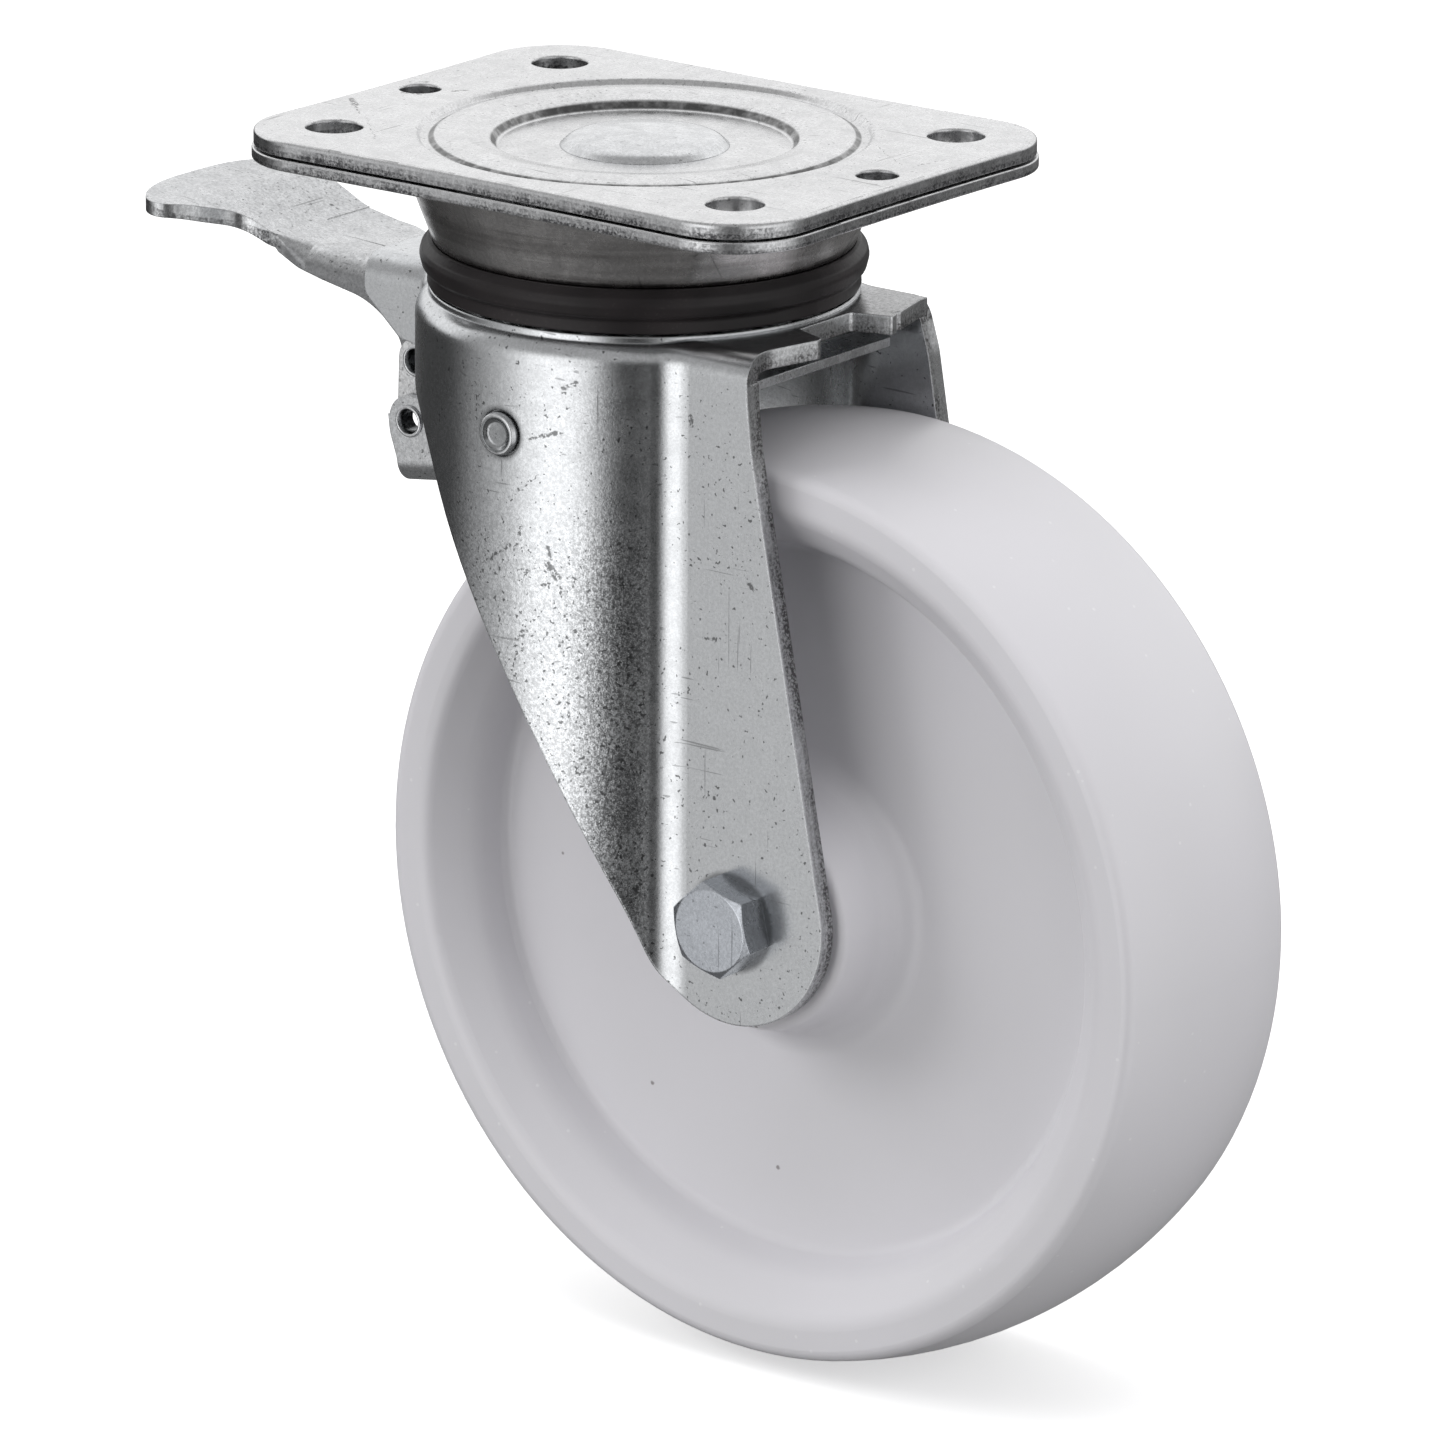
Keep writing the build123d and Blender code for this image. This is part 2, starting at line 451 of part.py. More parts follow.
rock = extrude(Plane(origin=(WEB_X, 0, 0), x_dir=(0, 1, 0), z_dir=(1, 0, 0)) * low_u, amount=60.0, dir=(1, 0, WEB_SLOPE))
rock = rock & (Pos(-45.0, 0, -60) * Box(36.0, 40, 70))
top_u = rface([(-ROCK_Y1, -90), (-ROCK_Y1, BR_TOP, 3.0), (ROCK_Y1, BR_TOP, 3.0), (ROCK_Y1, -90), (ROCK_Y0, -90), (ROCK_Y0, BR_TOP - ROCK_T, 1.4), (-ROCK_Y0, BR_TOP - ROCK_T, 1.4), (-ROCK_Y0, -90)])
rock += yz(top_u, -10.5, 16.0)
for s in (-1, 1):
    y0, y1 = (ROCK_Y0, ROCK_Y1) if s > 0 else (-ROCK_Y1, -ROCK_Y0)
    rock += xz(rface([(-27.6, -90), (-27.6, -45), (-10.0, -45), (-10.0, -90)]), y0, y1)
rock = rock & xz(side, -20, 20)
rock -= cyl_y(O_X, O_Z, 4.06, -20, 20)
rock -= cyl_y(C_X, C_Z, EYE_SLOT_R, -20, 20)
LR_X, LR_Y, LR_R = 10.2, 6.5, 2.2
for s in (-1, 1):
    rock -= disc_z(LR_X, s * LR_Y, LR_R, -52, -44)
save(rock, "brake_rocker")

# shoe: follows the tread when the brake is on
ROCK_TURN = PEDAL_TURN * ROCK_RATIO
pad = rface([on_tread(a, 100.35) for a in (134.0, 131.5, 129, 126.5)] + [on_tread(a, 104.4) for a in (126.5, 130, 134.0)])
shoe = xz(pad, -ROCK_Y0, ROCK_Y0)
for k in range(4):
    gx, gz = on_tread(127.4 + k * 1.9, 100.35)
    shoe -= cyl_y(gx, gz, 0.6, -20, 20)
shoe = Pos(O_X, 0, O_Z) * (Rot(Y=ROCK_TURN) * (Pos(-O_X, 0, -O_Z) * shoe))
save(shoe, "brake_shoe")

# locking leaf: flat on the rocker bridge, stepped up behind, three teeth
LEAF_T = 1.9
LEAF_LO, LEAF_HI, LEAF_END = -46.3, -41.4, 46.3
leaf_side = rface([(-9.0, LEAF_LO), (26.0, LEAF_LO, 3.0), (38.0, LEAF_HI, 3.0), (LEAF_END, LEAF_HI), (LEAF_END, LEAF_HI - LEAF_T), (38.4, LEAF_HI - LEAF_T, 4.9),
                   (26.4, LEAF_LO - LEAF_T, 4.9), (-9.0, LEAF_LO - LEAF_T)])
leaf = xz(leaf_side, -26, 26)
lp = [(-9.0, -9.5, 2.0), (16.0, -9.5, 6.0), (27.0, -24.8, 5.0), (LEAF_END, -24.8, 1.5), (LEAF_END, 24.8, 1.5), (27.0, 24.8, 5.0), (16.0, 9.5, 6.0), (-9.0, 9.5, 2.0)]
leaf = leaf & xy(rface(lp), -60, -30)
for a in (-10, 0, 10):
    leaf += Rot(Z=a) * (Pos(31.2, 0, (-40.65 - 45.0) / 2) * Box(1.8, 1.9, 45.0 - 40.65))
for s in (-1, 1):
    leaf -= disc_z(LR_X, s * LR_Y, LR_R, -52, -40)
save(leaf, "lock_leaf")
rv = turn_z(rface([(0, LEAF_LO + 1.3), (2.4, LEAF_LO + 1.3, 0.8), (3.6, LEAF_LO), (LR_R, LEAF_LO), (LR_R, BR_TOP - ROCK_T), (3.5, BR_TOP - ROCK_T), (2.8, BR_TOP - ROCK_T - 1.2, 0.6), (0, BR_TOP - ROCK_T - 1.2)]))
save(Compound(children=[(Pos(LR_X, s * LR_Y, 0) * rv).solids()[0] for s in (-1, 1)]), "leaf_rivets")

# cross rivet of the rocker, dished heads outside the fork
hr = turn_y(rface([(0, -48.6), (2.6, -48.6, 1.0), (3.5, -49.4, 0.4), (4.3, -49.3, 0.4), (4.6, -48.4, 0.6), (4.6, -46.7), (4.0, -46.7), (4.0, 46.7), (4.6, 46.7),
                   (4.6, 48.4, 0.6), (4.3, 49.3, 0.4), (3.5, 49.4, 0.4), (2.6, 48.6, 1.0), (0, 48.6)]), O_X, O_Z)
save(hr, "rocker_rivet")
sp = [turn_y(rface([(4.05, y0), (6.0, y0), (6.0, y1), (4.05, y1)]), O_X, O_Z).solids()[0] for y0, y1 in ((-42.6, -ROCK_Y1 - 0.1), (ROCK_Y1 + 0.1, 42.6))]
save(Compound(children=sp), "rocker_spacers")

# ------------------------------------------------------------------
# wheel with crowned tread, recessed web and hub
# ------------------------------------------------------------------
W = WHEEL_HALF
half = [(BORE_R, HUB_HALF, 0.0), (24.5, HUB_HALF, 2.0), (27.0, 19.0, 8.0), (30.5, 12.7, 6.0), (76.7, 12.7, 2.6), (79.6, 20.5, 10.0), (87.6, W, 5.5)]
pts = half + [(WHEEL_EDGE_R, W, 0)] + [(WHEEL_EDGE_R, -W, 0)] + [(p[0], -p[1], p[2]) for p in reversed(half)]
wheel = turn_y(rface(pts), 0, 0)
cap_r = (W * W + (WHEEL_R - WHEEL_EDGE_R) ** 2) / (2 * (WHEEL_R - WHEEL_EDGE_R))
crown_f = make_face([ThreePointArc((WHEEL_EDGE_R, -W), (WHEEL_R, 0), (WHEEL_EDGE_R, W)), Line((WHEEL_EDGE_R, W), (WHEEL_EDGE_R - 6, W)),
                     Line((WHEEL_EDGE_R - 6, W), (WHEEL_EDGE_R - 6, -W)), Line((WHEEL_EDGE_R - 6, -W), (WHEEL_EDGE_R, -W))])
wheel += turn_y(crown_f, 0, 0)
edge = [e for e in wheel.edges().filter_by(GeomType.CIRCLE) if abs(e.radius - WHEEL_EDGE_R) < 0.01 and abs(abs(e.center().Y) - W) < 0.01]
wheel = fillet(edge, 2.7)
wheel = Pos(TRAIL, 0, AXLE_Z) * wheel
save(wheel, "wheel")

# hub bearing
NR, RR, RP, RL = 14, 2.0, 12.25, 40.0
cage = turn_y(rface([(10.6, -24), (13.9, -24), (13.9, 24), (10.6, 24)]), 0, 0)
rollers = []
for i in range(NR):
    a = (i + 0.5) * 2 * pi / NR
    cage -= cyl_y(RP * cos(a), RP * sin(a), RR + 0.15, -RL / 2 - 0.3, RL / 2 + 0.3)
    rollers.append((Pos(TRAIL, 0, AXLE_Z) * cyl_y(RP * cos(a), RP * sin(a), RR, -RL / 2, RL / 2)).solids()[0])
save(Pos(TRAIL, 0, AXLE_Z) * cage, "roller_cage")
save(Compound(children=rollers), "hub_rollers")
save(turn_y(rface([(BOLT_R + 0.1, -30), (10.0, -30), (10.0, 30), (BOLT_R + 0.1, 30)]), TRAIL, AXLE_Z), "axle_tube")
ew = [turn_y(rface([(10.05, y0), (21.0, y0, 0.5), (21.0, y1, 0.5), (10.05, y1)]), TRAIL, AXLE_Z).solids()[0] for y0, y1 in ((-29.95, -28.4), (28.4, 29.95))]
save(Compound(children=ew), "hub_end_washers")

# axle bolt and nut
def hexagon(af, rot):
    r = af / 2 / cos(radians(30))
    return rface([(r * cos(radians(rot + 60 * k)), r * sin(radians(rot + 60 * k))) for k in range(6)])


hex_rot = 42.8
head = Pos(TRAIL, 0, AXLE_Z) * xz(hexagon(BOLT_AF, hex_rot), -LEG_Y - BOLT_HEAD, -LEG_Y)
head &= turn_y(rface([(0, -LEG_Y), (13, -LEG_Y), (13, -LEG_Y - BOLT_HEAD + 2.2), (BOLT_AF / 2 - 0.3, -LEG_Y - BOLT_HEAD), (0, -LEG_Y - BOLT_HEAD)]), TRAIL, AXLE_Z)
bolt = head + turn_y(rface([(0, -LEG_Y), (BOLT_R, -LEG_Y), (BOLT_R, 45.8), (BOLT_R - 0.9, 46.8), (0, 46.8)]), TRAIL, AXLE_Z)
save(bolt, "axle_bolt")
NUT_H = 10.0
nut = Pos(TRAIL, 0, AXLE_Z) * xz(hexagon(BOLT_AF, 12.0), LEG_Y, LEG_Y + NUT_H)
nut &= turn_y(rface([(0, LEG_Y), (10.0, LEG_Y), (13, LEG_Y + 1.6), (13, LEG_Y + 7.0), (10.0, LEG_Y + 8.2), (9.0, LEG_Y + NUT_H, 0.8), (0, LEG_Y + NUT_H)]), TRAIL, AXLE_Z)
nut -= cyl_y(TRAIL, AXLE_Z, BOLT_R, 20, 60)
nut -= cyl_y(TRAIL, AXLE_Z, 7.6, LEG_Y + 7.0, 60)
save(nut, "axle_nut")
save(turn_y(rface([(BOLT_R, LEG_Y + 7.0), (7.6, LEG_Y + 7.0), (7.6, LEG_Y + NUT_H - 0.4), (BOLT_R, LEG_Y + NUT_H - 0.8)]), TRAIL, AXLE_Z), "nut_insert")
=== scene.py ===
import bpy
import math
import random
from mathutils import Vector, Matrix


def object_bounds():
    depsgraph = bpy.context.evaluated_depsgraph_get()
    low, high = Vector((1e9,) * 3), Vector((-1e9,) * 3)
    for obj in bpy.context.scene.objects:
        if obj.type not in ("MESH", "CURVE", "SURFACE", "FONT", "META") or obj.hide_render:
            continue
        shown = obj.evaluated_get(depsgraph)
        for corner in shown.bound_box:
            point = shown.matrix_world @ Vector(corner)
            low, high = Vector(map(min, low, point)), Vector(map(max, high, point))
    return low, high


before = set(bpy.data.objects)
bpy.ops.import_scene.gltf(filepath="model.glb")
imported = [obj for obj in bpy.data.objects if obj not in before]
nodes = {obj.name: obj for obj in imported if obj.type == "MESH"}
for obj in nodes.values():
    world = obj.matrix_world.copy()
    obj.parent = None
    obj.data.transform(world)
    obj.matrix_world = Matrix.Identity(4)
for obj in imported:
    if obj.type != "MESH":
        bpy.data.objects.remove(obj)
cad_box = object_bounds()

MM = 0.001


# ------------------------------------------------------------------
# node helpers
# ------------------------------------------------------------------
class Mat:
    def __init__(self, name):
        self.m = bpy.data.materials.new(name)
        self.m.use_nodes = True
        t = self.m.node_tree
        t.nodes.clear()
        self.n, self.l = t.nodes, t.links
        self.out = self.n.new("ShaderNodeOutputMaterial")
        self.b = self.n.new("ShaderNodeBsdfPrincipled")
        self.l.new(self.b.outputs[0], self.out.inputs[0])
        self.co = self.n.new("ShaderNodeTexCoord").outputs["Object"]
        self.nor = self.n.new("ShaderNodeNewGeometry").outputs["Normal"]

    def put(self, sock, v):
        if isinstance(v, bpy.types.NodeSocket):
            self.l.new(v, sock)
        elif isinstance(v, (tuple, list)) and len(v) == 3 and sock.type == "RGBA":
            sock.default_value = (*v, 1.0)
        else:
            sock.default_value = v

    def set(self, **kw):
        for k, v in kw.items():
            self.put(self.b.inputs[k.replace("_", " ")], v)

    def math(self, op, a, b=0.0, c=None, clamp=False):
        n = self.n.new("ShaderNodeMath")
        n.operation = op
        n.use_clamp = clamp
        self.put(n.inputs[0], a)
        self.put(n.inputs[1], b)
        if c is not None:
            self.put(n.inputs[2], c)
        return n.outputs[0]

    def mapped(self, scale=(1, 1, 1), rot=(0, 0, 0), loc=(0, 0, 0), vec=None):
        n = self.n.new("ShaderNodeMapping")
        self.put(n.inputs[0], vec or self.co)
        n.inputs["Location"].default_value = loc
        n.inputs["Rotation"].default_value = [math.radians(a) for a in rot]
        n.inputs["Scale"].default_value = scale
        return n.outputs[0]

    def noise(self, scale, detail=2.0, rough=0.5, vec=None, dist=0.0):
        n = self.n.new("ShaderNodeTexNoise")
        self.put(n.inputs["Vector"], vec or self.co)
        n.inputs["Scale"].default_value = scale
        n.inputs["Detail"].default_value = detail
        n.inputs["Roughness"].default_value = rough
        n.inputs["Distortion"].default_value = dist
        return n.outputs[0]

    def voronoi(self, scale, rand=1.0, vec=None, feature="F1"):
        n = self.n.new("ShaderNodeTexVoronoi")
        n.feature = feature
        self.put(n.inputs["Vector"], vec or self.co)
        n.inputs["Scale"].default_value = scale
        n.inputs["Randomness"].default_value = rand
        return n

    def ramp(self, fac, *stops):
        """Piecewise value: (position, value) pairs."""
        n = self.n.new("ShaderNodeValToRGB")
        self.put(n.inputs[0], fac)
        e = n.color_ramp.elements
        while len(e) < len(stops):
            e.new(0.5)
        for el, (p, v) in zip(e, stops):
            el.position = p
            el.color = (v, v, v, 1) if not isinstance(v, (tuple, list)) else (*v, 1)
        return n.outputs[0]

    def smooth(self, v, a, b, lo=0.0, hi=1.0):
        n = self.n.new("ShaderNodeMapRange")
        n.interpolation_type = "SMOOTHSTEP"
        self.put(n.inputs[0], v)
        n.inputs[1].default_value = a
        n.inputs[2].default_value = b
        n.inputs[3].default_value = lo
        n.inputs[4].default_value = hi
        return n.outputs[0]

    def mix(self, fac, a, b, kind="MIX"):
        n = self.n.new("ShaderNodeMix")
        n.data_type = "RGBA"
        n.blend_type = kind
        self.put(n.inputs[0], fac)
        self.put(n.inputs[6], a)
        self.put(n.inputs[7], b)
        return n.outputs[2]

    def sep(self, vec=None):
        n = self.n.new("ShaderNodeSeparateXYZ")
        self.put(n.inputs[0], vec or self.co)
        return n.outputs

    def dist(self, p, vec=None):
        """Distance in metres from a point given in mm."""
        n = self.n.new("ShaderNodeVectorMath")
        n.operation = "DISTANCE"
        self.put(n.inputs[0], vec or self.co)
        n.inputs[1].default_value = [c * MM for c in p]
        return n.outputs["Value"]

    def mul(self, a, b):
        return self.math("MULTIPLY", a, b)

    def add(self, a, b):
        return self.math("ADD", a, b)

    def sub(self, a, b):
        return self.math("SUBTRACT", a, b)

    def bump(self, height, dist, strength=1.0, normal=None):
        n = self.n.new("ShaderNodeBump")
        n.inputs["Strength"].default_value = strength
        n.inputs["Distance"].default_value = dist
        self.put(n.inputs["Height"], height)
        if normal is not None:
            self.put(n.inputs["Normal"], normal)
        return n.outputs[0]

    def vec(self, op, a, b=None, scale=None):
        n = self.n.new("ShaderNodeVectorMath")
        n.operation = op
        self.put(n.inputs[0], a)
        if b is not None:
            self.put(n.inputs[1], b)
        if scale is not None:
            self.put(n.inputs["Scale"], scale)
        return n.outputs["Value"] if op in ("DOT_PRODUCT", "LENGTH") else n.outputs["Vector"]

    def warp(self, amount, scale=700.0):
        """Object position, shaken by up to amount mm."""
        n = self.n.new("ShaderNodeTexNoise")
        self.put(n.inputs["Vector"], self.co)
        n.inputs["Scale"].default_value = scale
        n.inputs["Detail"].default_value = 1.0
        d = self.vec("SUBTRACT", n.outputs["Color"], (0.5, 0.5, 0.5))
        return self.vec("ADD", self.co, self.vec("SCALE", d, scale=2 * amount * MM))

    def line(self, p, a, b, width):
        """1 on the line from a to b (mm), fading out over its width."""
        a, b = Vector(a) * MM, Vector(b) * MM
        d = b - a
        q = self.vec("SUBTRACT", p, tuple(a))
        t = self.math("MULTIPLY", self.vec("DOT_PRODUCT", q, tuple(d)), 1.0 / d.length_squared, clamp=True)
        o = self.n.new("ShaderNodeVectorMath")
        o.operation = "SCALE"
        o.inputs[0].default_value = tuple(d)
        self.put(o.inputs["Scale"], t)
        g = self.vec("LENGTH", self.vec("SUBTRACT", q, o.outputs["Vector"]))
        return self.smooth(g, width * 1.35 * MM, width * 0.45 * MM)

    def bevel(self, r):
        n = self.n.new("ShaderNodeBevel")
        n.samples = 4
        n.inputs["Radius"].default_value = r * MM
        return n.outputs[0]


def scratches(M, scale, amount, seeds=((0, 0, 20), (0, 40, -35), (25, 0, 70))):
    """Sparse hairlines in a few directions, 0..1."""
    out = None
    for k, rot in enumerate(seeds):
        v = M.mapped(scale=(1.0, 0.03, 0.03) if k % 2 else (0.03, 1.0, 1.0), rot=rot, loc=(0.3 * k, 0.17 * k, 0.1))
        s = M.noise(scale * (1.0 + 0.35 * k), 1.0, 0.4, vec=v, dist=0.12)
        m = M.smooth(s, 0.745 - amount, 0.785 - amount)
        gate = M.smooth(M.noise(48.0 + 11 * k, 1.0, 0.5), 0.50, 0.62)
        m = M.mul(m, gate)
        out = m if out is None else M.math("MAXIMUM", out, m)
    return out


def zinc(name, base=(0.71, 0.72, 0.735), rough=0.30, peel=0.05, speck=0.5, scratch=0.02, bev=0.35, dens=0.35, mottle=0.12, marks=(), grain=0.10):
    """Bright zinc plating: orange peel, cloudy tone, dark specks, hairlines and
    the odd deeper mark. peel is the height of the texture in mm."""
    M = Mat(name)
    M.fine = M.noise(3000.0, 1.0, 0.6)
    M.peel = M.noise(1350.0, 2.0, 0.6)
    M.mott = M.noise(230.0, 3.0, 0.65)
    M.cloud = M.noise(27.0, 3.0, 0.55)
    M.patch = M.smooth(M.cloud, 0.40, 0.66)
    M.dens = M.add(M.mul(M.patch, 0.65), dens)
    raw = M.noise(980.0, 1.0, 0.6, vec=M.mapped(loc=(0.31, 0.2, 0.7)))
    M.raw = M.add(raw, M.mul(M.fine, 0.10))
    M.specks = M.smooth(M.add(M.raw, M.mul(M.dens, 0.07)), 0.765, 0.815)
    M.scr = scratches(M, 900.0, scratch) if scratch > 0 else None
    tone = M.add(M.mul(M.smooth(M.cloud, 0.3, 0.7), 0.45), M.mul(M.smooth(M.mott, 0.36, 0.64), 0.55))
    M.col = M.mix(tone, tuple(min(1.0, c * (1 + mottle * 0.5)) for c in base), tuple(c * (1 - mottle) for c in base))
    M.grain = M.mul(M.sub(M.smooth(M.add(M.mul(M.peel, 0.6), M.mul(M.fine, 0.4)), 0.36, 0.62), 0.45), 2.0 * grain)
    M.r = M.add(M.add(M.mul(M.smooth(M.mott, 0.35, 0.65), 0.09), rough - 0.05), M.mul(M.patch, 0.04))
    M.base, M.speck, M.height, M.bev = base, speck, peel, bev
    M.h = M.add(M.mul(M.peel, 0.75), M.mul(M.fine, 0.25))
    M.mark = None
    if marks:
        wob = M.warp(0.9)
        for q in marks:
            M.mark = M.line(wob, *q) if M.mark is None else M.math("MAXIMUM", M.mark, M.line(wob, *q))
        M.mark = M.mul(M.mark, M.smooth(M.noise(1500.0, 1.0, 0.5), 0.36, 0.52))
    return M


def close(M):
    dark = M.mul(M.specks, M.speck)
    if M.scr is not None:
        dark = M.math("MAXIMUM", dark, M.mul(M.scr, 0.5))
    if M.mark is not None:
        dark = M.math("MAXIMUM", dark, M.mul(M.mark, 0.85))
    col = M.vec("SCALE", M.col, scale=M.sub(1.0, M.grain))
    col = M.mix(dark, col, tuple(c * 0.16 for c in M.base))
    M.set(Base_Color=col, Metallic=1.0, Roughness=M.math("MAXIMUM", M.r, 0.08, clamp=True))
    n = M.bevel(M.bev) if M.bev else None
    M.set(Normal=M.bump(M.h, M.height * MM, 1.0, n))
    return M.m


def paint(name, mat):
    o = nodes[name]
    for s in o.material_slots:
        s.material = mat
    if not o.material_slots:
        o.data.materials.append(mat)


def shear(M, side, depth, dark, light, torn=0.45, rim_highlight_start=0.9):
    """A cut sheet edge. side is its mask, depth 0..1 from the torn foot to the
    rolled upper corner; next to that corner the edge is painted in the light colour as a painted highlight."""
    stri = M.noise(1.0, 3.0, 0.65, vec=M.mapped(scale=(620, 620, 70)), dist=0.6)
    gr = M.noise(1700.0, 2.0, 0.7, vec=M.mapped(loc=(3, 1, 2)))
    big = M.noise(90.0, 2.0, 0.6, vec=M.mapped(loc=(1, 4, 2)))
    jag = M.add(depth, M.mul(M.sub(stri, 0.5), 0.55))
    foot = M.smooth(jag, torn + 0.12, torn - 0.12)
    tone = M.add(M.mul(M.smooth(gr, 0.36, 0.62), 0.55), M.mul(M.smooth(stri, 0.40, 0.60), 0.25))
    tone = M.add(M.mul(tone, M.add(M.mul(M.smooth(big, 0.35, 0.65), 0.7), 0.45)), M.mul(foot, M.add(M.mul(gr, 0.6), 0.05)))
    # painted highlight: the top of the depth range takes the light colour
    tone = M.mul(M.math("MINIMUM", tone, 1.0), M.smooth(depth, 0.99, rim_highlight_start))
    M.col = M.mix(side, M.col, M.mix(tone, light, dark))
    M.r = M.add(M.r, M.mul(side, M.add(M.mul(tone, 0.22), 0.02)))
    M.h = M.add(M.h, M.mul(side, M.mul(stri, 1.4)))
    M.specks = M.mul(M.specks, M.sub(1.0, side))
    if M.scr is not None:
        M.scr = M.mul(M.scr, M.sub(1.0, side))


# ------------------------------------------------------------------
# materials
# ------------------------------------------------------------------
def plate_mat(name, z_top, z_bot, torn, marks=(), neck=False, crease_shade_rings=()):
    M = zinc(name, base=(0.77, 0.772, 0.78), rough=0.25, peel=0.016, speck=0.55, scratch=0.045, bev=0.3, dens=0.0, mottle=0.07, marks=marks, grain=0.10)
    nz = M.math("ABSOLUTE", M.sep(M.nor)[2])
    x, y, z = M.sep()
    far = M.math("MAXIMUM", M.smooth(M.math("ABSOLUTE", x), 0.052, 0.053), M.smooth(M.math("ABSOLUTE", y), 0.050, 0.051))
    side = M.mul(M.smooth(nz, 0.55, 0.25), far)
    shear(M, side, M.smooth(z, z_bot * MM, z_top * MM), (0.10, 0.10, 0.105), (0.66, 0.665, 0.675), torn)
    r = M.math("POWER", M.add(M.mul(x, x), M.mul(y, y)), 0.5)
    # painted shade: thin dark rings at the feet of the pressed bead and the recess edge, broken by the mottle
    for r0, r1, amount in crease_shade_rings:
        c = M.mul(M.smooth(r, (r0 - 0.35) * MM, (r0 + 0.1) * MM), M.smooth(r, (r1 + 0.35) * MM, (r1 - 0.1) * MM))
        c = M.mul(c, M.add(M.mul(M.smooth(M.mott, 0.35, 0.6), 0.35 * amount), 0.65 * amount))
        M.col = M.mix(c, M.col, (0.10, 0.10, 0.10))
    if neck:
        cup = M.mul(M.smooth(r, 0.054, 0.050), M.smooth(z, -0.0062, -0.0075))
        turn = M.noise(1.0, 3.0, 0.6, vec=M.mapped(scale=(9, 9, 620)))
        M.h = M.add(M.mul(M.h, M.sub(1.0, M.mul(cup, 0.6))), M.mul(cup, M.mul(turn, 3.2)))
        # painted shade: the drawn neck is painted darker, in horizontal light and dark bands painted as streaked
        # reflections
        M.col = M.mix(cup, M.col, M.mix(M.smooth(M.noise(1.0, 2.0, 0.6, vec=M.mapped(scale=(14, 14, 260), loc=(2, 1, 0))), 0.35, 0.65), (0.66, 0.645, 0.64), (0.42, 0.405, 0.40)))
        M.specks = M.mul(M.specks, M.sub(1.0, M.mul(cup, 0.8)))
    return close(M)


PLATE_MARKS = [((-65.6, -16.3, 0), (-61, -20.5, 0), 0.7), ((-61, -20.5, 0), (-55.6, -25.4, 0), 0.25), ((-53.5, -26.1, 0), (-38.9, -40.5, 0), 0.16),
               ((-60.5, -5.2, 0), (-57.0, -4.2, 0), 0.6), ((-53.5, 2.0, 0), (-51.5, 5.0, 0), 0.5), ((-66.0, 3.0, 0), (-62.5, 5.6, 0), 0.35),
               ((28, -44, 0), (41, -46.5, 0), 0.14), ((45, 20, 0), (60, 9, 0), 0.13), ((-20, 47, 0), (4, 50, 0), 0.13), ((62, 12, 0), (63.4, 19, 0), 0.2)]
paint("top_plate", plate_mat("zinc top plate", -0.7, -3.3, 0.42, PLATE_MARKS, crease_shade_rings=((31.0, 31.9, 0.95), (43.9, 44.8, 0.95))))
paint("bearing_cup_plate", plate_mat("zinc cup plate", -3.9, -6.2, 0.30, neck=True))

FORK_MARKS = [((-4.8, -47.6, -83.5), (2.8, -47.7, -77.9), 0.40), ((5.3, -47.5, -73.5), (3.9, -47.6, -78.4), 0.22),
              ((3.9, -47.6, -78.4), (4.2, -47.6, -83.1), 0.28), ((4.2, -47.6, -83.1), (11.5, -46.4, -82.4), 0.28), ((11.4, -46.4, -81.2), (13.4, -45.9, -83.6), 0.75),
              ((12.2, -46.2, -79.6), (11.6, -46.4, -77.4), 0.5), ((2.9, -47.7, -67.6), (9.5, -46.8, -62.1), 0.16),
              ((-2.0, -47.8, -69.6), (6.6, -47.4, -65.6), 0.14), ((7.6, -47.2, -54.9), (14.2, -45.7, -52.6), 0.42),
              ((14.4, -45.6, -43.4), (17.2, -44.6, -41.9), 0.40), ((4.7, -47.6, -97.5), (6.4, -47.4, -95.9), 0.5),
              ((38.7, -34, -47.2), (38.8, -34, -49.2), 0.45), ((42.5, -34, -94.2), (46.9, -34, -93.4), 0.35), ((54.4, -34, -80.4), (54.9, -34, -81.2), 0.5)]


